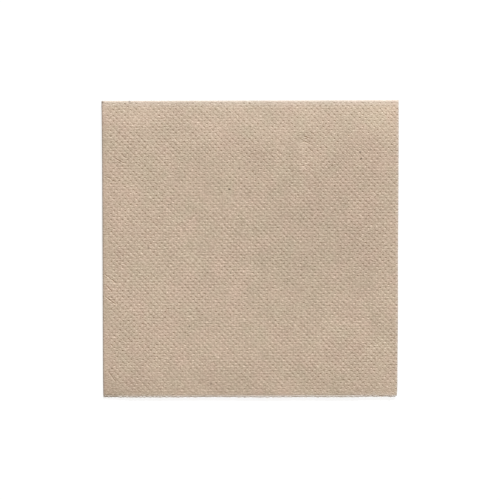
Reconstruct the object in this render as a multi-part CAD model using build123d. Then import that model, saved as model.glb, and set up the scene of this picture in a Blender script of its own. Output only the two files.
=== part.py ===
from build123d import *
import os
from math import cos, degrees, pi, radians, sin

# A square paper napkin folded twice into a quarter, lying on its lower face.
# The first fold runs along the left edge, the second along the back edge.
# The front and right edges are open and show the free edges of four layers.

# Driving dimensions, in millimetres and degrees
SHEET_WIDTH = 200.0  # open sheet, measured across the first fold
SHEET_LENGTH = 200.0  # open sheet, measured across the second fold
LAYER = 0.22  # thickness of one embossed layer of tissue
LAYER_GAP = 0.12  # air between the two layers that the first fold lays together
FOLD_CORE = 0.12  # inner radius of the second fold
FIRST_FOLD_OFFSET = 0.20  # how far the first fold lies off the middle of the sheet
SECOND_FOLD_OFFSET = 0.15  # how far the second fold lies off the middle of the sheet
FOLD_SPRING = 8.0  # angle at which the upper half springs away from the second fold
CREST_RUN = 16.0  # from the second fold to the crest of the upper half
OPEN_GAP = 0.20  # air between the upper and the lower half at the open front edge

# What follows from them
pair = 2 * LAYER + LAYER_GAP  # thickness of the two layers of one half
middle = pair / 2  # height of the first fold's axis in its pair
layer_step = LAYER + LAYER_GAP  # from the middle of one layer to that of the next
layer_axis = LAYER / 2  # depth of a layer's middle line below its outer face
fold_radius = FOLD_CORE + pair  # outer radius of the second fold
spring = radians(FOLD_SPRING)
crest_radius = CREST_RUN / sin(spring)
crest_height = fold_radius * (1 + cos(spring)) + crest_radius * (1 - cos(spring))
open_height = 2 * pair + OPEN_GAP
# The inner layer has the shorter way round the second fold, so its free edges stand out.
creep = layer_step * pi / 2


def first_fold():
    """Middle line of the sheet across the first fold, from the bend's axis: outer half, inner half."""
    half = SHEET_WIDTH / 2 - layer_step * pi / 4
    outer_end = (half + FIRST_FOLD_OFFSET, layer_axis)
    inner_end = (half - FIRST_FOLD_OFFSET, pair - layer_axis)
    outer_bend = CenterArc((0, middle), layer_step / 2, 270, -90)
    inner_bend = CenterArc((0, middle), layer_step / 2, 180, -90)
    outer_half = Line(outer_end, outer_bend @ 0) + outer_bend
    inner_half = inner_bend + Line(inner_bend @ 1, inner_end)
    return outer_half, inner_half


def second_fold():
    """Way of the outer face round the second fold: lower half, fold, rise to the crest, sag to the edge."""
    quarter_turn = (fold_radius - layer_axis) * pi / 2
    lower_run = SHEET_LENGTH / 2 + SECOND_FOLD_OFFSET - quarter_turn
    spared = (fold_radius - layer_axis) * spring
    rise_run = (crest_radius - layer_axis) * spring
    sag_run = SHEET_LENGTH / 2 - SECOND_FOLD_OFFSET - quarter_turn + spared - rise_run
    sag_radius = sag_run**2 / (2 * (crest_height - open_height))
    lower = Line((0, 0), (lower_run, 0))
    fold = JernArc(lower @ 1, lower % 1, fold_radius, 180 - FOLD_SPRING)
    rise = JernArc(fold @ 1, fold % 1, crest_radius, FOLD_SPRING)
    sag = JernArc(rise @ 1, rise % 1, sag_radius, degrees(sag_run / sag_radius))
    return Plane.YZ * (lower + fold + rise + sag)


def folded_sheet():
    """The sheet's double layer carried round the second fold, with the inner layer's edges standing out."""
    outer_half, inner_half = first_fold()
    section = trace(outer_half + inner_half, LAYER).face()
    inner_section = trace(inner_half, LAYER).face()
    way = second_fold()
    lower_end = Plane(way @ 0, x_dir=(1, 0, 0), z_dir=-(way % 0))
    upper_end = Plane(way @ 1, x_dir=(1, 0, 0), z_dir=-(way % 1))
    sheet = sweep(lower_end * section, path=way, is_frenet=True)
    sheet += extrude(lower_end * inner_section, creep)
    sheet += extrude(upper_end * inner_section, -creep)
    return sheet


napkin = folded_sheet()
box = napkin.bounding_box()
napkin = Pos(-box.center().X, -box.center().Y, -box.min.Z) * napkin

os.makedirs("parts", exist_ok=True)
export_step(napkin, "parts/folded_napkin.step")
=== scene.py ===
# %% [markdown]
# # A paper napkin, folded into a quarter
#
# The object is one square of unbleached tissue. In the mill a roller with fine points presses rows of
# dots into it, and a machine folds it in half, and then in half once more. What lies on the table is
# four layers thick, closed along its left and back edges and open along its right and front edges.
#
# This lesson goes in the same order as the mill: a flat sheet, the dots, the thickness, the two folds,
# and then the look of the paper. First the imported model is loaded. It is the fixed frame: the napkin
# that is built here has to lie where that one lies.

# %% Load the frame
import math
import random

import bmesh
import bpy
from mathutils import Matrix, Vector, noise


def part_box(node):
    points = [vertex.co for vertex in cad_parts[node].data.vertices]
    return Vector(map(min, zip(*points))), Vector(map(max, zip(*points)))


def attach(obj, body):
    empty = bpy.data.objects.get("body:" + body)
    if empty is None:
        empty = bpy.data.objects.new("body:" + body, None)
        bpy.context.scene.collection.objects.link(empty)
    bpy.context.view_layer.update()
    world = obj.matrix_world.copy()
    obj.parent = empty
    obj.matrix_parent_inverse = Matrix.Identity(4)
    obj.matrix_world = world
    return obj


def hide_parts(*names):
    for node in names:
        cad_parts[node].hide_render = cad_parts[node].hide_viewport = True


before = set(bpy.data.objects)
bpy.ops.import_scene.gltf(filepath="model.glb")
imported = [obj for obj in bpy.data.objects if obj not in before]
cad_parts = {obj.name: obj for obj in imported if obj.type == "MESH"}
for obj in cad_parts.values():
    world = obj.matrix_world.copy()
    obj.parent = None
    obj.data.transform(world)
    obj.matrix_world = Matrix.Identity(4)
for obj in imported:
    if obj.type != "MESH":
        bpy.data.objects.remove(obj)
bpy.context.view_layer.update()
low, high = (Vector(corner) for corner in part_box("folded_napkin"))
print("folded napkin:", [round(1000 * side, 2) for side in high - low], "mm")

# %% [markdown]
# ## The sizes of the sheet and its folds
#
# These are the sizes that the solid was drawn with, in metres. The sheet is cut 200 mm square, and a
# layer with its dots is about a fifth of a millimetre thick. The folds aren't creased to nothing: the
# first one bends round the air between its two layers, and the second one round a small core. The upper
# half springs away from the second fold, rises to a crest and sags back to the open edge, so the napkin
# is a flat pillow and not a plate.

# %% Sizes of the sheet and its folds
MM = 0.001
SHEET = 200 * MM
LAYER = 0.22 * MM
LAYER_GAP = 0.12 * MM
FOLD_CORE = 0.12 * MM
FIRST_FOLD_OFFSET = 0.20 * MM
SECOND_FOLD_OFFSET = 0.15 * MM
FOLD_SPRING = math.radians(8)
CREST_RUN = 16 * MM
OPEN_GAP = 0.20 * MM

pair = 2 * LAYER + LAYER_GAP
layer_step = LAYER + LAYER_GAP
fold_radius = FOLD_CORE + pair
first_axis_x = low.x + pair / 2
second_axis_y = high.y - fold_radius
print("one half is", round(pair / MM, 2), "mm thick")
print("outer radius of the second fold:", round(fold_radius / MM, 2), "mm")

# %% [markdown]
# ## The flat sheet
#
# A flat grid is the easiest thing to emboss, so the sheet is made flat and folded later. Across, u runs
# from the first fold: plus u is the outer layer, which shows, and minus u the inner one, which doesn't.
# Along, v runs from the second fold: minus v is the upper half and plus v the lower half.
#
# The dots stand in staggered rows, like the black fields of a chessboard. So the grid lines of the outer
# layer are half a repeat apart, and every second field carries a dot. The bends get narrow columns and
# rows of their own, because a fold needs many short steps to look round, and the hidden layer gets
# columns four times as wide. A narrow plain margin lies beside the first fold and along the front cuts.
# The slitting knives stand a little close, so the sheet comes out a trifle narrower than its nominal
# size.

# %% Grid lines of the flat sheet
DOT_REPEAT_U = 1.912 * MM
DOT_REPEAT_V = 2.008 * MM
SLIT_SHORT = 0.29 * MM
FOLD_MARGIN = 0.30 * MM
CUT_MARGIN = 0.34 * MM
HIDDEN_COLUMNS = 26
FIRST_BEND_STEPS = 10
SECOND_BEND_STEPS = 16


def lines(start, stop, count):
    """Places of the grid lines from start up to, but without, stop."""
    return [start + (stop - start) * k / count for k in range(count)]


half_bend = layer_step * math.pi / 4
half_turn = (fold_radius - LAYER / 2) * math.pi / 2
outer_edge = SHEET / 2 + FIRST_FOLD_OFFSET - SLIT_SHORT
inner_edge = SHEET / 2 - FIRST_FOLD_OFFSET - SLIT_SHORT
upper_edge = SHEET / 2 - SECOND_FOLD_OFFSET
lower_edge = SHEET / 2 + SECOND_FOLD_OFFSET
dot_columns = round((outer_edge - half_bend - FOLD_MARGIN) / (DOT_REPEAT_U / 2))
dot_rows = round((upper_edge - half_turn - CUT_MARGIN) / (DOT_REPEAT_V / 2))

columns = lines(-inner_edge, -half_bend, HIDDEN_COLUMNS)
columns += lines(-half_bend, half_bend, FIRST_BEND_STEPS) + [half_bend]
columns += lines(half_bend + FOLD_MARGIN, outer_edge, dot_columns) + [outer_edge]
rows = [-upper_edge] + lines(CUT_MARGIN - upper_edge, -half_turn, dot_rows)
rows += lines(-half_turn, half_turn, SECOND_BEND_STEPS)
rows += lines(half_turn, lower_edge - CUT_MARGIN, dot_rows) + [lower_edge - CUT_MARGIN, lower_edge]
first_dot_column = HIDDEN_COLUMNS + FIRST_BEND_STEPS + 1
bend_rows = range(1 + dot_rows, 1 + dot_rows + SECOND_BEND_STEPS)
margin_rows = (0, len(rows) - 2)
print(dot_columns, "dot columns, and", dot_rows, "dot rows on each half")

# %% [markdown]
# `create_grid` gives an even grid. While it is still even, a face's column and row can be read from its
# middle, so that is when the fields that carry a dot are picked. Then each vertex is put on its own grid
# lines. The sheet's middle surface is at z = 0, so its outer face lies half a layer above that.

# %% Flat grid, with the fields that carry a dot
column_count = len(columns) - 1
row_count = len(rows) - 1
sheet = bmesh.new()
bmesh.ops.create_grid(sheet, x_segments=column_count, y_segments=row_count, size=1)


def grid_place(point):
    """Column and row of a place on the even grid, not rounded yet."""
    return (point.x + 1) / 2 * column_count, (point.y + 1) / 2 * row_count


dots = []
for face in sheet.faces:
    face.smooth = True
    column, row = (int(place) for place in grid_place(face.calc_center_median()))
    shows = column >= first_dot_column and row not in bend_rows and row not in margin_rows
    if shows and (column + row) % 2 == 0:
        dots.append(face)
for vert in sheet.verts:
    column, row = (round(place) for place in grid_place(vert.co))
    vert.co = (columns[column], rows[row], LAYER / 2)
print(len(sheet.faces), "fields,", len(dots), "of them with a dot")

# %% [markdown]
# ## The embossed dots
#
# Each dot is a small pit that a point of the roller has pressed in. `inset_individual` draws the pit's
# rim inside its field, and `poke` puts a vertex in the middle of it, which is then pressed down. With the
# plain field beside it, that is fourteen triangles to a dot, few enough for ten thousand dots. The points
# of this roller are wider than they are long, so the rims are drawn in a little before they are poked.
# The four walls stay flat shaded: smooth shading would average each wall with the land round it, and a
# pit this small would be averaged away.
#
# A roller doesn't press evenly. Some dots are faint or stand a little off their place, broad patches are
# weaker than others, and the folding rollers iron the dots flat again beside both folds and in one corner.
# So the depth is one full depth times a strength that changes from place to place, and each ironed place
# has a share of the strength that is kept there.

# %% Press the dots
DOT_RIM = 0.06 * MM
DOT_SLIM = 0.88
DOT_DEPTH = 0.21 * MM
DOT_STRAY = 0.07 * MM
PRESS_RANGE = (0.5, 1.2)
PATCH = 9 * MM
PATCH_CONTRAST = 0.35
IRONED_BY_FOLD = 3.4 * MM
KEPT_BY_FOLD = 0.15
IRONED_BY_TURN = 0.8 * MM
KEPT_BY_TURN = 0.35
IRONED_CORNER = Vector((4.6 * MM, -96.6 * MM))
IRONED_CORNER_RADIUS = 3.2 * MM
KEPT_IN_CORNER = 0.2
SEED = 7
random.seed(SEED)


def ramp(distance, width):
    """Smooth step from 0 at no distance to 1 at the width."""
    share = min(max(distance / width, 0), 1)
    return share * share * (3 - 2 * share)


def dot_strength(point):
    """How deep a dot is sunk, as a share of the full depth."""
    patch = noise.noise(Vector((point.x, point.y, 0)) / PATCH)
    from_corner = (point.xy - IRONED_CORNER).length
    strength = (1 + PATCH_CONTRAST * patch) * random.uniform(*PRESS_RANGE)
    strength *= KEPT_BY_FOLD + (1 - KEPT_BY_FOLD) * ramp(point.x - half_bend, IRONED_BY_FOLD)
    strength *= KEPT_BY_TURN + (1 - KEPT_BY_TURN) * ramp(abs(point.y) - half_turn, IRONED_BY_TURN)
    strength *= KEPT_IN_CORNER + (1 - KEPT_IN_CORNER) * ramp(from_corner, IRONED_CORNER_RADIUS)
    return min(strength, 1)


bmesh.ops.inset_individual(sheet, faces=dots, thickness=DOT_RIM, use_even_offset=True)
for dot in dots:
    middle = dot.calc_center_median()
    for vert in dot.verts:
        vert.co.y = middle.y + DOT_SLIM * (vert.co.y - middle.y)
pit_bottoms = bmesh.ops.poke(sheet, faces=dots)["verts"]
for bottom in pit_bottoms:
    bottom.co.z -= DOT_DEPTH * dot_strength(bottom.co)
    bottom.co.xy += Vector((random.uniform(-1, 1), random.uniform(-1, 1))) * DOT_STRAY
    for wall in bottom.link_faces:
        wall.smooth = False
deepest = max(LAYER / 2 - bottom.co.z for bottom in pit_bottoms)
print(len(pit_bottoms), "pits, at most", round(deepest / MM, 3), "mm deep")

# %% [markdown]
# ## Small creases
#
# Where the rollers close the first fold, the tissue is pushed into a few short slanting creases, and near
# the second fold it was caught once and puckered. A crease is a sharp line that pays no heed to the grid.
# `bisect_plane` is the tool for that: it cuts only the faces that it is given, so three cuts side by
# side, two shoulders and the crease between them, lay new edges along it. The cut faces are divided into
# triangles while they are still flat, so that they bend only along their edges. Then the middle line is
# pressed down.
#
# Places are in millimetres from the crossing of the two folds, on the upper half.

# %% Creases
CREASES_AT_FIRST_FOLD = (
    ((0.5, -58.8), (4.9, -62.2)),
    ((0.9, -62.4), (3.3, -65.0)),
    ((0.7, -66.4), (5.2, -69.8)),
    ((0.9, -25.6), (4.6, -27.8)),
    ((4.5, -19.9), (7.6, -21.7)),
    ((6.2, -18.2), (8.0, -19.9)),
    ((1.7, -91.7), (4.6, -95.8)),
)
PUCKER = (
    ((69.9, -10.8), (71.6, -12.1)),
    ((68.0, -12.5), (69.8, -13.2)),
    ((67.7, -14.0), (70.1, -15.1)),
    ((69.3, -16.2), (71.0, -17.9)),
)
CREASE_HALF_WIDTH = 0.28 * MM
CREASE_REACH = 5 * CREASE_HALF_WIDTH
CREASE_DEPTH = 0.19 * MM
CREASE_RUN_OUT = 4
CREASE_CUT_TOLERANCE = 0.001 * MM


def press_crease(start, end):
    """Cut a crease into the flat sheet and press its middle line down, less towards both ends."""
    middle = (start + end) / 2
    reach = (end - start).length / 2
    along = (end - start).normalized()
    across = along.orthogonal()

    def near(face):
        away = face.calc_center_median().xy - middle
        beside = abs(away.dot(across)) < CREASE_REACH
        return beside and abs(away.dot(along)) < reach + CREASE_HALF_WIDTH

    faces = [face for face in sheet.faces if near(face)]
    borders = [part for face in faces for part in (*face.edges, *face.verts)]
    # A dictionary keeps each part once, and in the same order in every run.
    crossed = list(dict.fromkeys(faces + borders))
    for shift in (-CREASE_HALF_WIDTH, CREASE_HALF_WIDTH, 0):
        place = (middle + across * shift).to_3d()
        cut = bmesh.ops.bisect_plane(
            sheet, geom=crossed, dist=CREASE_CUT_TOLERANCE, plane_co=place, plane_no=across.to_3d()
        )
        crossed = cut["geom"]
    valley = [part for part in cut["geom_cut"] if isinstance(part, bmesh.types.BMVert)]
    crossed_faces = [part for part in crossed if isinstance(part, bmesh.types.BMFace)]
    bmesh.ops.triangulate(sheet, faces=crossed_faces)
    for vert in valley:
        share = min(abs((vert.co.xy - middle).dot(along)) / reach, 1)
        vert.co.z = min(vert.co.z, LAYER / 2 - CREASE_DEPTH * (1 - share ** CREASE_RUN_OUT))
        for face in vert.link_faces:
            face.smooth = False
    return len(valley)


creases = CREASES_AT_FIRST_FOLD + PUCKER
valleys = [press_crease(Vector(start) * MM, Vector(end) * MM) for start, end in creases]
print("vertices along each crease:", valleys)

# %% [markdown]
# ## The cut edges
#
# The front edge is chopped across the web and comes out ragged, the side edge is slit along it and comes
# out cleaner. An edge can't be ragged without points, so the front edges are divided into pieces of a
# third of a millimetre first. Here and there a point is drawn out further, as a tuft of fibres. The chop
# is also a hair out of square. The unevenness is a noise that is read along one line, which lies off the
# noise's own lattice, because on the lattice it is always zero.

# %% Ragged edges
FIELD_CUTS = 2
HIDDEN_CUTS = 11
RAGGED = 0.12 * MM
RAG_LENGTH = 0.6 * MM
WAVY = 0.12 * MM
FRONT_WAVE_LENGTH = 17 * MM
SIDE_WAVY = 0.5 * WAVY
SIDE_WAVE_LENGTH = 23 * MM
NOISE_LINE = (0.37, 4.1)
RAG_REACH = 0.7 * MM
TUFT = 0.35 * MM
TUFT_CHANCE = 0.08
CHOP_SLANT = 0.20 * MM


def from_front(v):
    """Distance of a row from the cut front edge of its half."""
    return upper_edge + v if v < 0 else lower_edge - v


def from_side(u):
    """Distance of a column from the cut side edge of its layer."""
    return outer_edge - u if u > 0 else inner_edge + u


def uneven(place, length):
    """Noise of about plus or minus one along a line, with waves of that length."""
    return 2 * noise.noise(Vector((place / length, *NOISE_LINE)))


boundary = [edge for edge in sheet.edges if edge.is_boundary]
front_edges = [edge for edge in boundary if edge.verts[0].co.y == edge.verts[1].co.y]
field_edges = [edge for edge in front_edges if half_bend < edge.calc_length() < DOT_REPEAT_U]
hidden_edges = [edge for edge in front_edges if edge.calc_length() > DOT_REPEAT_U]
bmesh.ops.subdivide_edges(sheet, edges=field_edges, cuts=FIELD_CUTS)
bmesh.ops.subdivide_edges(sheet, edges=hidden_edges, cuts=HIDDEN_CUTS)
for vert in sheet.verts:
    u, v = vert.co.xy
    front_pull = WAVY * uneven(u, FRONT_WAVE_LENGTH) + RAGGED * uneven(u, RAG_LENGTH)
    front_pull -= CHOP_SLANT * (abs(u) / outer_edge - 0.5)
    if from_front(v) < RAG_REACH / 2 and random.random() < TUFT_CHANCE:
        front_pull -= TUFT * random.random()
    side_pull = SIDE_WAVY * uneven(v, SIDE_WAVE_LENGTH)
    vert.co.y -= (1 if v > 0 else -1) * front_pull * (1 - ramp(from_front(v), RAG_REACH))
    vert.co.x -= (1 if u > 0 else -1) * side_pull * (1 - ramp(from_side(u), RAG_REACH))
print("the cut edge runs through", sum(vert.is_boundary for vert in sheet.verts), "vertices")

# %% [markdown]
# ## The thickness
#
# The rim is drawn down by one layer with `extrude_edge_only`, and its lower loop is filled with one large
# face. That face has to fold too, so `bisect_plane` cuts it on the lines of the bends, on every fourth
# line between them, and on every line near the front, where the layers will shut. Through the pucker,
# which will be dented, it is cut twice as finely as the grid. A Solidify modifier would be shorter, but
# it would double every dot, unseen, inside.

# %% Thickness
INNER_LINES = 4
FRONT_LINES = 10
PUCKER_REACH = 4 * MM
INNER_CUT_TOLERANCE = 0.0001 * MM

boundary = [edge for edge in sheet.edges if edge.is_boundary]
rim = bmesh.ops.extrude_edge_only(sheet, edges=boundary)["geom"]
rim_verts = [part for part in rim if isinstance(part, bmesh.types.BMVert)]
rim_faces = [part for part in rim if isinstance(part, bmesh.types.BMFace)]
bmesh.ops.translate(sheet, verts=rim_verts, vec=(0, 0, -LAYER))
lower_loop = [part for part in rim if isinstance(part, bmesh.types.BMEdge) and part.is_boundary]
inner_face = bmesh.ops.contextual_create(sheet, geom=lower_loop)["faces"][0]
inner_face.smooth = True


def pucker_lines(places, axis):
    """Grid lines across that axis, and the middles between them, that run through or near the pucker."""
    ends = [end[axis] * MM for crease in PUCKER for end in crease]
    first, last = min(ends) - PUCKER_REACH, max(ends) + PUCKER_REACH
    middles = [(place + following) / 2 for place, following in zip(places, places[1:])]
    return [place for place in places + middles if first < place < last]


bend_start, bend_stop = bend_rows[0], bend_rows[-1] + 1
cut_columns = columns[1:first_dot_column + 1]
cut_columns += columns[first_dot_column + INNER_LINES:-1:INNER_LINES]
cut_columns += [u for u in pucker_lines(columns, 0) if u not in cut_columns]
cut_rows = rows[1:FRONT_LINES] + rows[FRONT_LINES:bend_start:INNER_LINES]
cut_rows += rows[bend_start:bend_stop + 1]
cut_rows += rows[bend_stop + INNER_LINES:-FRONT_LINES:INNER_LINES] + rows[-FRONT_LINES:-1]
cut_rows += [v for v in pucker_lines(rows, 1) if v not in cut_rows]
cuts = [((u, 0, 0), (1, 0, 0)) for u in cut_columns] + [((0, v, 0), (0, 1, 0)) for v in cut_rows]
inner_side = [inner_face, *inner_face.edges, *inner_face.verts]
for place, normal in cuts:
    cut = bmesh.ops.bisect_plane(
        sheet, geom=inner_side, dist=INNER_CUT_TOLERANCE, plane_co=place, plane_no=normal
    )
    inner_side = cut["geom"]
for face in rim_faces:
    for edge in face.edges:
        edge.smooth = False
sheet.normal_update()
print("open edges left:", sum(edge.is_boundary for edge in sheet.edges), "faces:", len(sheet.faces))

# %% [markdown]
# ## Where the fibres are loose
#
# Along a cut the fibre ends stand out and look paler and greyer than the sheet, most of all on the inner
# layer, which sticks out in front; that paleness is partly painted light, which brightens the strip lying
# in the shadow of the layers above. On the ridge of the second fold the fibres are broken and pale too,
# and there the paleness is partly painted light on the fold that faces the lamp.
# The material has to know those places. Each vertex gets a number for it, named `frayed_and_lit`, while
# the sheet is still flat and the distance from its edges is easy to tell. A second number, `fold_shade`,
# marks the first fold, where a thin darker line of painted shade lies along the edge that rolls away from
# the light.

# %% Frayed places
# The paleness of frayed places is partly painted light: it lightens the front strip in the upper layers'
# shadow and the ridge of the second fold, which faces the lamp.
FRAY_WIDTH = 0.42 * MM
FOLD_WEAR_WIDTH = 3.0 * MM
FOLD_WEAR_AND_LIGHT = 0.20
OUTER_FRAY = 0.2
SIDE_FRAY = 0.3

frayed_and_lit = sheet.verts.layers.float.new("frayed_and_lit")
fold_shade = sheet.verts.layers.float.new("fold_shade")
for vert in sheet.verts:
    u, v = vert.co.xy
    at_front = (OUTER_FRAY if u > 0 else 1) * (1 - ramp(from_front(v), FRAY_WIDTH))
    at_side = SIDE_FRAY * (1 - ramp(from_side(u), FRAY_WIDTH))
    at_ridge = FOLD_WEAR_AND_LIGHT * (1 - ramp(abs(v), FOLD_WEAR_WIDTH))
    vert[frayed_and_lit] = max(at_front, at_side, at_ridge)
    vert[fold_shade] = 1 - ramp(abs(u) - half_bend, FOLD_MARGIN)
print("frayed vertices:", sum(vert[frayed_and_lit] > 0 for vert in sheet.verts))

# %% [markdown]
# ## A map of the flat sheet
#
# When the napkin is exported, its material is baked into pictures, and for that each face needs its own
# place in a flat map. The sheet is still flat, so the map can simply be read off it. The outer layer gets
# most of the room, because it is what shows; the hidden layer, the inner side and the cut edges get
# narrow strips beside it. The map is one unit wide and high, and a strip is named by its two ends.

# %% Flat map
OUTER_STRIP = (0.01, 0.80)
HIDDEN_STRIP = (0.82, 0.89)
INNER_STRIP = (0.91, 0.97)
CUT_STRIP = 0.980
CUT_STRIP_WIDTH = 0.001
FRONT_CUT_SHIFT = 0.008
FAR_CUT_SHIFT = 0.004
MAP_HEIGHT = 0.98
FACES_DOWN = -0.5
baking_map = sheet.loops.layers.uv.new("OFBake")


def strip(face):
    """Both ends on the map of the strip that a face lies in, and its start and end on the sheet."""
    if face.normal.z < FACES_DOWN:
        return *INNER_STRIP, -inner_edge, outer_edge
    if face.calc_center_median().x > -half_bend:
        return *OUTER_STRIP, -half_bend, outer_edge
    return *HIDDEN_STRIP, -inner_edge, -half_bend


cut_faces = set(rim_faces)
for face in sheet.faces:
    if face in cut_faces:
        along_front = abs(face.normal.y) > abs(face.normal.x)
        far_side = (face.normal.y if along_front else face.normal.x) > 0
        start = CUT_STRIP + FRONT_CUT_SHIFT * along_front + FAR_CUT_SHIFT * far_side
        for loop in face.loops:
            place = loop.vert.co.x if along_front else loop.vert.co.y
            across = start + CUT_STRIP_WIDTH * (loop.vert.co.z > 0)
            loop[baking_map].uv = (across, 0.5 + MAP_HEIGHT * place / SHEET)
    else:
        left, right, first, last = strip(face)
        for loop in face.loops:
            share = (loop.vert.co.x - first) / (last - first)
            across = left + (right - left) * share
            loop[baking_map].uv = (across, 0.5 + MAP_HEIGHT * loop.vert.co.y / SHEET)
print("mapped", len(sheet.faces), "faces,", len(cut_faces), "of them on the cut edges")

# %% [markdown]
# ## Folding
#
# Folding is a change of place for every vertex, and paper doesn't stretch, so lengths along the sheet are
# kept. The first fold turns u into x and a depth below the outer face. The second fold carries that depth
# along a way of arcs: half a turn round the fold, then for the upper half a rise to the crest and a long
# sag. Complex numbers make an arc short to write, since turning about a centre is one multiplication.
#
# The inner layer takes the shorter way round the second fold, so its cut edge comes out in front of the
# outer one. That needs no code of its own: it follows from keeping the lengths.
#
# Towards the open front edge the four layers shut. A layer's thickness is mostly the height of its dots,
# and there are none beside the cut, so each layer thins to the bare web there, the two of a half come
# together, and the lower half rises to meet the upper one. That rise goes by the place after folding, so
# that both layers of the lower half rise together and don't cut into each other.

# %% The two folds
SHUT_RUN = 5 * MM
BARE_STEP = 0.065 * MM
THINNING = 0.75
THIN_RUN = 2.6 * MM
LOWER_RISE = 0.55 * MM
MIDDLE_SPRING = 1.10
SPRING_SLANT = 0.14
SIDE_DROP_LEFT = 0.22
SIDE_DROP_RIGHT = 0.95
SIDE_RUN_LEFT = 5 * MM
SIDE_RUN_RIGHT = 4 * MM


def first_fold(u, out, front):
    """x, depth in the pair and depth of the layer's middle, for a place out from the sheet's middle."""
    angle = min(max(u / (layer_step / 2), -math.pi / 2), math.pi / 2)
    run = max(abs(u) - half_bend, 0)
    step = layer_step + (BARE_STEP - layer_step) * math.exp(-front / SHUT_RUN)
    thinned = out * (1 - THINNING * math.exp(-front / THIN_RUN))
    x = first_axis_x + run - (layer_step / 2 + thinned) * math.cos(angle)
    depth = pair / 2 - (step / 2 + thinned) * math.sin(angle)
    middle = pair / 2 - layer_step / 2 * math.sin(angle)
    return x, depth, middle


def follow(arcs, length, depth, middle):
    """End of a way of arcs from the second fold's middle, for a layer at that depth inside it."""
    place = complex(second_axis_y + fold_radius, fold_radius)
    heading = 1j
    for radius, turn in arcs:
        turned = min(length / (radius - middle), turn)
        centre = place + 1j * heading * radius
        swing = complex(math.cos(turned), math.sin(turned))
        place = centre + (place - centre) * swing
        heading *= swing
        length -= turned * (radius - middle)
    return place + heading * length + 1j * heading * depth


def side_lift(x):
    """Share of its spring that the upper half has at x: more towards the right, less at both sides."""
    left = SIDE_DROP_LEFT * math.exp(-(x - low.x) / SIDE_RUN_LEFT)
    right = SIDE_DROP_RIGHT * math.exp(-(high.x - x) / SIDE_RUN_RIGHT)
    return MIDDLE_SPRING + SPRING_SLANT * x / high.x - left - right


def upper_arcs(x):
    """Arcs of the upper half at x: the rest of the fold, the rise to the crest and the long sag."""
    spring = FOLD_SPRING * side_lift(x)
    crest_radius = CREST_RUN / math.sin(spring)
    crest = fold_radius * (1 + math.cos(spring)) + crest_radius * (1 - math.cos(spring))
    sag_run = upper_edge - half_turn + (fold_radius - crest_radius) * spring
    sag_radius = sag_run ** 2 / (2 * (crest - 2 * pair - OPEN_GAP))
    return (fold_radius, math.pi / 2 - spring), (crest_radius, spring), (sag_radius, math.pi)


def folded(point):
    """Place in the folded napkin of a point of the flat sheet."""
    x, depth, middle = first_fold(point.x, point.z, from_front(point.y))
    if point.y < 0:
        end = follow(upper_arcs(x), -point.y, depth, middle)
        return Vector((x, end.real, end.imag))
    end = follow(((fold_radius, math.pi / 2),), point.y, depth, middle)
    rise = LOWER_RISE * math.exp(-(end.real - low.y) / SHUT_RUN)
    return Vector((x, end.real, 2 * fold_radius - end.imag + rise))


upper_under = folded(Vector((-SHEET / 4, -upper_edge, LAYER / 2)))
lower_over = folded(Vector((-SHEET / 4, lower_edge, LAYER / 2)))
air = upper_under.z - lower_over.z
print("air between the halves at the open edge:", round(air / MM, 3), "mm")

# %% [markdown]
# ## Limp paper
#
# A folded napkin isn't as true as a drawing. The upper half is faintly wavy, dented round the pucker, and
# rolls off a little over the first fold. The side edge was cut slightly out of square, so the napkin is
# narrower in front than at the back, the free corner is pulled in, and the front left corner sags. The
# closed corner, where both folds cross, stands out a trifle because so many thicknesses of bend have to
# find room there. These are small moves on top of the fold, so they are made in the same pass.

# %% Fold the sheet
WAVE = 0.20 * MM
WAVE_LENGTH = 24 * MM
WAVE_MARGIN = 12 * MM
DENT = Vector((18.0 * MM, 36.2 * MM))
DENT_RADIUS = 2.2 * MM
DENT_DEPTH = 0.30 * MM
ROLL_OFF = 0.25 * MM
ROLL_RUN = 0.32 * MM
ROLL_MARGIN = 5 * MM
OUT_OF_SQUARE = 0.72 * MM
SQUARE_REACH = 8 * MM
CORNER_PULL = 0.35 * MM
CORNER_REACH = 1.6 * MM
CLOSED_CORNER = 0.28 * MM
CLOSED_REACH_ACROSS = 8 * MM
CLOSED_REACH_ALONG = 13 * MM
CORNER_SAG = 0.40 * MM
SAG_REACH_ACROSS = 7 * MM
SAG_REACH_ALONG = 5 * MM


def limp(place, upper):
    """A folded place, moved by the small faults of soft paper."""
    left, right = place.x - low.x, high.x - place.x
    front, back = place.y - low.y, high.y - place.y
    corner = CORNER_PULL * math.exp(-(front + right) / CORNER_REACH)
    closed = CLOSED_CORNER * math.exp(-left / CLOSED_REACH_ACROSS - back / CLOSED_REACH_ALONG)
    slant = OUT_OF_SQUARE * (0.5 - back / (front + back)) * math.exp(-right / SQUARE_REACH)
    sag = CORNER_SAG * math.exp(-left / SAG_REACH_ACROSS - max(front, 0) / SAG_REACH_ALONG)
    moved = place + Vector((slant - corner - closed, corner / 2, -sag))
    if upper:
        free = min(front, back - fold_radius)
        wave = WAVE * noise.noise(Vector((place.x, place.y, 0)) / WAVE_LENGTH)
        roll = ROLL_OFF * math.exp(-left / ROLL_RUN)
        dent = DENT_DEPTH * math.exp(-(place.xy - DENT).length_squared / DENT_RADIUS ** 2)
        moved.z += wave * ramp(free, WAVE_MARGIN) - roll * ramp(free, ROLL_MARGIN) - dent
    return moved


for vert in sheet.verts:
    vert.co = limp(folded(vert.co), vert.co.y < 0)
heights = [vert.co.z for vert in sheet.verts]
print("lies from", round(min(heights) / MM, 3), "to", round(max(heights) / MM, 3), "mm")

# %% [markdown]
# ## The napkin as an object
#
# The bmesh becomes a mesh on an object at the origin. The cut edges were marked sharp above: without
# that, the shading of the faces beside a cut would bend round its corner, and the edge would look thick
# and soft. The napkin is attached to the root body and takes the place of the plain solid, which is
# hidden.

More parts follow.
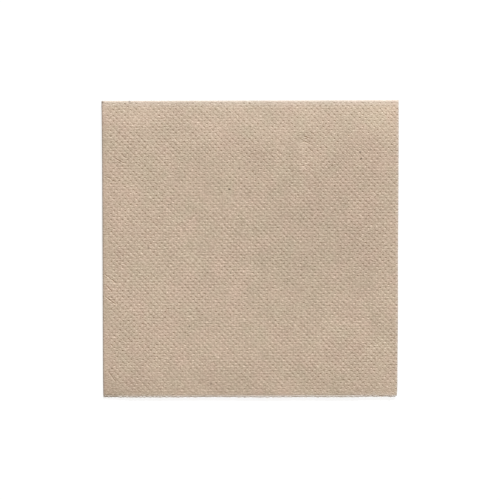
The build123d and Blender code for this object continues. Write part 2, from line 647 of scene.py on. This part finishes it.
# %% Napkin
mesh = bpy.data.meshes.new("napkin")
sheet.to_mesh(mesh)
sheet.free()
napkin = bpy.data.objects.new("napkin", mesh)
bpy.context.scene.collection.objects.link(napkin)
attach(napkin, "root")
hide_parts("folded_napkin")
print("triangles:", sum(len(polygon.vertices) - 2 for polygon in mesh.polygons))

# %% [markdown]
# ## Nodes in a few words
#
# A material is a tree of nodes, and a scene has several such trees, for paper, floor and sky. Four small
# functions keep them readable. `add` makes a node, and the other three take plain numbers or the outputs
# of other nodes and hand back an output, so a chain of nodes reads like a calculation.

# %% Node helpers
def add(tree, kind, inputs=(), **settings):
    """New node of that kind, with its settings made and its inputs filled in or linked."""
    node = tree.nodes.new(kind)
    for name, value in settings.items():
        setattr(node, name, value)
    for name, value in dict(inputs).items():
        if isinstance(value, bpy.types.NodeSocket):
            tree.links.new(value, node.inputs[name])
        else:
            node.inputs[name].default_value = value
    return node


def calculate(tree, operation, first, second):
    """Two values calculated together."""
    return add(tree, "ShaderNodeMath", {0: first, 1: second}, operation=operation).outputs[0]


def stretch(tree, value, from_low, from_high, to_low, to_high):
    """A value brought from one range into another."""
    inputs = {0: value, 1: from_low, 2: from_high, 3: to_low, 4: to_high}
    return add(tree, "ShaderNodeMapRange", inputs).outputs[0]


def blend(tree, share, first, second, how="MIX"):
    """Two colours blended."""
    inputs = {0: share, 6: first, 7: second}
    return add(tree, "ShaderNodeMix", inputs, data_type="RGBA", blend_type=how).outputs[2]


print("node helpers:", [helper.__name__ for helper in (add, calculate, stretch, blend)])

# %% [markdown]
# ## The pulp
#
# Unbleached tissue is never one brown. Pinkish and greenish fibres from the waste paper gather in soft
# clouds a few millimetres wide, and other clouds are thicker or thinner and so a little darker or
# lighter. One noise does both: its colour output is three noises in one, and two of its channels are
# used, one for each. Such a noise keeps near its middle, so a narrow range of it is stretched. Over one
# broad place right of the middle and at the front left corner the colour is made a touch darker, as
# painted shade, and at the back right corner a touch lighter, as painted light. A distance that fades
# out sets how much. Each of these places is a middle, a radius and a tone.

# %% Clouds
PINKISH = (0.574, 0.437, 0.336, 1)
GREENISH = (0.547, 0.442, 0.329, 1)
CLOUD = 8 * MM
CLOUD_DETAIL = 3
CLOUD_ROUGHNESS = 0.65
CLOUD_CONTRAST = 0.05
TINT_RANGE = (0.33, 0.67)
THICKNESS_RANGE = (0.30, 0.70)
# Painted shade over a broad place and at the front left corner, and painted light at the back right
# corner.
BROAD_PAINTED_SHADE = ((24 * MM, 6 * MM, 0), 34 * MM, 0.945)
PAINTED_LIGHT_CORNER = ((50 * MM, 50 * MM, 0), 22 * MM, 1.13)
PAINTED_SHADE_CORNER = ((-50 * MM, -50 * MM, 0), 24 * MM, 0.93)

tissue = bpy.data.materials.new("tissue")
tissue.use_nodes = True
tree = tissue.node_tree
place = add(tree, "ShaderNodeTexCoord").outputs["Object"]
soft = {"Vector": place, "Scale": 1 / CLOUD, "Detail": CLOUD_DETAIL, "Roughness": CLOUD_ROUGHNESS}
clouds = add(tree, "ShaderNodeTexNoise", soft).outputs["Color"]
channels = add(tree, "ShaderNodeSeparateColor", {0: clouds}).outputs
tint = stretch(tree, channels[0], *TINT_RANGE, 0, 1)
thickness = stretch(tree, channels[1], *THICKNESS_RANGE, 1 - CLOUD_CONTRAST, 1 + CLOUD_CONTRAST)
colour = blend(tree, 1, blend(tree, tint, PINKISH, GREENISH), thickness, "MULTIPLY")
# Each place darkens or lightens the colour towards its middle: painted shade or painted light.
for middle, radius, tone in (BROAD_PAINTED_SHADE, PAINTED_LIGHT_CORNER, PAINTED_SHADE_CORNER):
    between = {0: place, 1: middle}
    away = add(tree, "ShaderNodeVectorMath", between, operation="DISTANCE").outputs["Value"]
    fading = {0: away, 2: radius, 3: tone}
    fade = add(tree, "ShaderNodeMapRange", fading, interpolation_type="SMOOTHSTEP").outputs[0]
    colour = blend(tree, 1, colour, fade, "MULTIPLY")
print("clouds of", round(CLOUD / MM, 1), "mm")

# %% [markdown]
# ## Fibres and specks
#
# Single fibres make a fine grain. They run every way, though somewhat more along the web, so three noises
# that are drawn out in different directions are added to an even one. The waste paper brings many brown
# fibres and fewer bleached ones, so the grain goes from a dark, warm tone to a pale, whiter one, with a
# power that makes the pale end rare. The grain is also the height for a fine bump and changes the
# roughness a little: tissue is quite matt.
#
# Here and there lies a dark speck. A Voronoi texture scatters points in space, each with a random colour.
# A speck is what is close to a point whose red is high, so that most points give none. It is darkest in
# its core and fades towards its edge.

# %% Grain and specks
GRAIN = 0.36 * MM
GRAIN_DETAIL = 2
GRAIN_HEIGHT = 0.11 * MM
GRAIN_RANGE = (0.85, 1.65)
FIBRE_TURNS = (0.15, 1.0, 2.2)
FIBRE_STRETCH = (0.25, 1, 1)
FIBRE_FINENESS = 1.4
FIBRE_DETAIL = 1
FIBRE_SHARE = 0.5
DARK_FIBRES = (0.79, 0.765, 0.735, 1)
PALE_FIBRES = (1.40, 1.446, 1.503, 1)
PALE_RARITY = 1.6
SPECK_SPACING = 3.4 * MM
SPECK_SIZE = 0.48 * MM
SPECK_SHARE = 0.18
SPECK_CORE = 0.4
SPECK_STRENGTH = 0.85
# This dark colour serves the real specks and the knife dust, and also the painted shadow in the closed
# corner.
SPECK_AND_SHADOW_COLOUR = (0.17, 0.125, 0.09, 1)
LUCK_MARGIN = 0.04

even = {"Vector": place, "Scale": 1 / GRAIN, "Detail": GRAIN_DETAIL}
grain = add(tree, "ShaderNodeTexNoise", even).outputs["Fac"]
for turn in FIBRE_TURNS:
    direction = {"Vector": place, "Rotation": (0, 0, turn), "Scale": FIBRE_STRETCH}
    turned = add(tree, "ShaderNodeMapping", direction).outputs[0]
    drawn_out = {"Vector": turned, "Scale": FIBRE_FINENESS / GRAIN, "Detail": FIBRE_DETAIL}
    fibre = add(tree, "ShaderNodeTexNoise", drawn_out).outputs["Fac"]
    grain = calculate(tree, "ADD", grain, calculate(tree, "MULTIPLY", fibre, FIBRE_SHARE))
grain = stretch(tree, grain, *GRAIN_RANGE, 0, 1)
fibres = blend(tree, calculate(tree, "POWER", grain, PALE_RARITY), DARK_FIBRES, PALE_FIBRES)
colour = blend(tree, 1, colour, fibres, "MULTIPLY")


def specks(spacing, size, share):
    """Dark specks of that size round some of the points that are scattered at that spacing."""
    points = add(tree, "ShaderNodeTexVoronoi", {"Vector": place, "Scale": 1 / spacing})
    luck = add(tree, "ShaderNodeSeparateColor", {0: points.outputs["Color"]}).outputs[0]
    core, brink = SPECK_CORE * size / spacing, size / spacing
    close = stretch(tree, points.outputs["Distance"], core, brink, SPECK_STRENGTH, 0)
    chosen = stretch(tree, luck, 1 - share, 1 + LUCK_MARGIN - share, 0, 1)
    return calculate(tree, "MULTIPLY", close, chosen)


colour = blend(tree, specks(SPECK_SPACING, SPECK_SIZE, SPECK_SHARE), colour, SPECK_AND_SHADOW_COLOUR)
print("nodes so far:", len(tree.nodes))

# %% [markdown]
# Last come the places that the vertices remember. The line of the first fold is a little darker, as
# painted shade.
# The loose fibres of the cuts and of the second fold are paler and greyer, partly as real loose fibres and
# partly as painted light, and dust from the knife clings to the most frayed ones as small dark specks. One
# more dark spot, a painted shadow, sits in the closed corner, where the two bends leave a small hollow.
# Then the shader gets its inputs.

# %% Tissue shader
# Painted shade for the thin darker line along the first fold.
PAINTED_FOLD_SHADE = (0.82, 0.85, 0.91, 1)
FRAYED_AND_LIGHT_COLOUR = (0.96, 0.945, 0.92, 1)
LEAST_LOOSE = 0.4
DUST_SPACING = 1.1 * MM
DUST_SIZE = 0.42 * MM
DUST_SHARE = 0.40
DUST_RANGE = (0.5, 0.9)
# Painted shadow: a dark spot in the closed corner, where the two bends leave a small hollow.
CORNER_SHADOW = (low.x + 0.05 * MM, high.y - 0.50 * MM, 2 * fold_radius)
CORNER_SHADOW_SIZE = 0.70 * MM
CORNER_SHADOW_CORE = 0.2
CORNER_SHADOW_STRENGTH = 0.9
LEAST_ROUGH = 0.88
SHEEN_LEVEL = 0.2

# Painted shade: the first fold's edge rolls away from the light, so a thin line along it is darkened.
fold_shade_share = add(tree, "ShaderNodeAttribute", attribute_name="fold_shade").outputs["Fac"]
colour = blend(tree, fold_shade_share, colour, PAINTED_FOLD_SHADE, "MULTIPLY")
# Paler, greyer frayed fibres, partly real and partly painted light on the shaded front strip and the lit
# ridge.
at_cut = add(tree, "ShaderNodeAttribute", attribute_name="frayed_and_lit").outputs["Fac"]
fray_and_light_share = calculate(tree, "MULTIPLY", at_cut, stretch(tree, grain, 0, 1, LEAST_LOOSE, 1))
colour = blend(tree, fray_and_light_share, colour, FRAYED_AND_LIGHT_COLOUR)
dusty = stretch(tree, at_cut, *DUST_RANGE, 0, 1)
dust = calculate(tree, "MULTIPLY", dusty, specks(DUST_SPACING, DUST_SIZE, DUST_SHARE))
colour = blend(tree, dust, colour, SPECK_AND_SHADOW_COLOUR)
# The painted shadow in the closed corner.
between = {0: place, 1: CORNER_SHADOW}
away = add(tree, "ShaderNodeVectorMath", between, operation="DISTANCE").outputs["Value"]
corner_shadow = stretch(tree, away, CORNER_SHADOW_CORE * CORNER_SHADOW_SIZE, CORNER_SHADOW_SIZE, CORNER_SHADOW_STRENGTH, 0)
colour = blend(tree, corner_shadow, colour, SPECK_AND_SHADOW_COLOUR)
raised = add(tree, "ShaderNodeBump", {"Height": grain, "Distance": GRAIN_HEIGHT}).outputs["Normal"]
shader = tree.nodes["Principled BSDF"]
tree.links.new(colour, shader.inputs["Base Color"])
tree.links.new(stretch(tree, grain, 0, 1, LEAST_ROUGH, 1), shader.inputs["Roughness"])
tree.links.new(raised, shader.inputs["Normal"])
shader.inputs["Specular IOR Level"].default_value = SHEEN_LEVEL
mesh.materials.append(tissue)
print("tissue has", len(tree.nodes), "nodes")

# %% [markdown]
# ## Floor
#
# The napkin lies on a plain white ground. To the camera the floor glows almost white by itself, and only
# a small share of it is lit, so it keeps a faint shadow. To light on its way to the paper it is an
# ordinary pale floor, so it doesn't throw extra light on the paper.

# %% Floor
FLOOR_HALF_SIDE = 2
FLOOR_GLOW = 0.90
FLOOR_LIT = (0.14, 0.14, 0.14, 1)
FLOOR_PLAIN = (0.80, 0.80, 0.80, 1)

floor_mesh = bpy.data.meshes.new("floor")
ground = bmesh.new()
bmesh.ops.create_grid(ground, x_segments=1, y_segments=1, size=FLOOR_HALF_SIDE)
ground.to_mesh(floor_mesh)
ground.free()
floor = bpy.data.objects.new("floor", floor_mesh)
bpy.context.scene.collection.objects.link(floor)


def seen_directly(tree):
    """1 for a ray from the camera or in a mirror or glass, and 0 for light on its way to the paper."""
    path = add(tree, "ShaderNodeLightPath").outputs
    seen = calculate(tree, "MAXIMUM", path["Is Camera Ray"], path["Is Glossy Ray"])
    return calculate(tree, "MAXIMUM", seen, path["Is Transmission Ray"])


white_ground = bpy.data.materials.new("white_ground")
white_ground.use_nodes = True
tree = white_ground.node_tree
tree.nodes.remove(tree.nodes["Principled BSDF"])
glow = add(tree, "ShaderNodeEmission", {"Strength": FLOOR_GLOW}).outputs[0]
lit = add(tree, "ShaderNodeBsdfDiffuse", {"Color": FLOOR_LIT}).outputs[0]
plain = add(tree, "ShaderNodeBsdfDiffuse", {"Color": FLOOR_PLAIN}).outputs[0]
white = add(tree, "ShaderNodeAddShader", {0: glow, 1: lit}).outputs[0]
surface = add(tree, "ShaderNodeMixShader", {0: seen_directly(tree), 1: plain, 2: white}).outputs[0]
tree.links.new(surface, tree.nodes["Material Output"].inputs["Surface"])
floor_mesh.materials.append(white_ground)
print("floor is", round(2 * abs(floor_mesh.vertices[0].co.x), 1), "m wide")

# %% [markdown]
# ## Light
#
# The dots show because the light comes in low over the back edge, a little from the right. One soft sun
# does that, and an even sky fills the shadows. The sun is a little cool and the sky a little warm, so
# that slopes in the light look whiter and slopes in the shade browner. On a level surface the two tints
# cancel and the two strengths add up to about one, so the paper renders in the brown that was written.

# %% Key light and sky
KEY_ELEVATION = math.radians(35)
KEY_FROM_RIGHT = math.radians(16)
KEY_STRENGTH = 4.12
KEY_SOFTNESS = math.radians(6)
KEY_COLOUR = (0.94, 1.014, 1.105)
SKY_STRENGTH = 0.25
SKY_COLOUR = (1.18, 0.958, 0.684, 1)
WHITE = (1, 1, 1, 1)

key_light = bpy.data.lights.new("key", "SUN")
key_light.energy = KEY_STRENGTH
key_light.color = KEY_COLOUR
key_light.angle = KEY_SOFTNESS
key = bpy.data.objects.new("key", key_light)
towards_key = Vector((
    math.sin(KEY_FROM_RIGHT) * math.cos(KEY_ELEVATION),
    math.cos(KEY_FROM_RIGHT) * math.cos(KEY_ELEVATION),
    math.sin(KEY_ELEVATION),
))
key.location = towards_key
key.rotation_euler = towards_key.to_track_quat("Z", "Y").to_euler()
bpy.context.scene.collection.objects.link(key)

sky = bpy.data.worlds.new("sky")
bpy.context.scene.world = sky
sky.use_nodes = True
tree = sky.node_tree
background = tree.nodes["Background"]
seen = seen_directly(tree)
tree.links.new(blend(tree, seen, SKY_COLOUR, WHITE), background.inputs["Color"])
tree.links.new(stretch(tree, seen, 0, 1, SKY_STRENGTH, 1), background.inputs["Strength"])
level = KEY_STRENGTH * math.sin(KEY_ELEVATION) / math.pi + SKY_STRENGTH
print("light on a level surface:", round(level, 3))

# %% [markdown]
# ## Camera
#
# The view is from straight above, with the second fold at the top of the picture. The lens is long, so
# that the napkin's edges show hardly any perspective. The napkin lies a hair off square in the picture,
# so the camera is turned by that much, and moved by the pixel or so that the napkin's middle lies off the
# picture's. Places in the picture are in pixels, the camera's height is in metres, and the sensor is in
# millimetres.

# %% Camera
PICTURE_SIDE = 500
NAPKIN_IN_PICTURE = 295.8
NAPKIN_MIDDLE_ACROSS = 250.75
NAPKIN_MIDDLE_DOWN = 248.9
CAMERA_HEIGHT = 0.6
SENSOR = 36
CAMERA_ROLL = math.radians(-0.15)

pixel = (high.x - low.x) / NAPKIN_IN_PICTURE
camera_lens = bpy.data.cameras.new("camera")
camera_lens.sensor_width = SENSOR
camera_lens.lens = SENSOR * CAMERA_HEIGHT / (PICTURE_SIDE * pixel)
camera = bpy.data.objects.new("camera", camera_lens)
camera.location.x = (PICTURE_SIDE / 2 - NAPKIN_MIDDLE_ACROSS) * pixel
camera.location.y = (NAPKIN_MIDDLE_DOWN - PICTURE_SIDE / 2) * pixel
camera.location.z = CAMERA_HEIGHT
camera.rotation_euler = (0, 0, CAMERA_ROLL)
bpy.context.scene.collection.objects.link(camera)
bpy.context.scene.camera = camera
bpy.context.scene.view_settings.view_transform = "Standard"
print("lens:", round(camera_lens.lens), "mm")
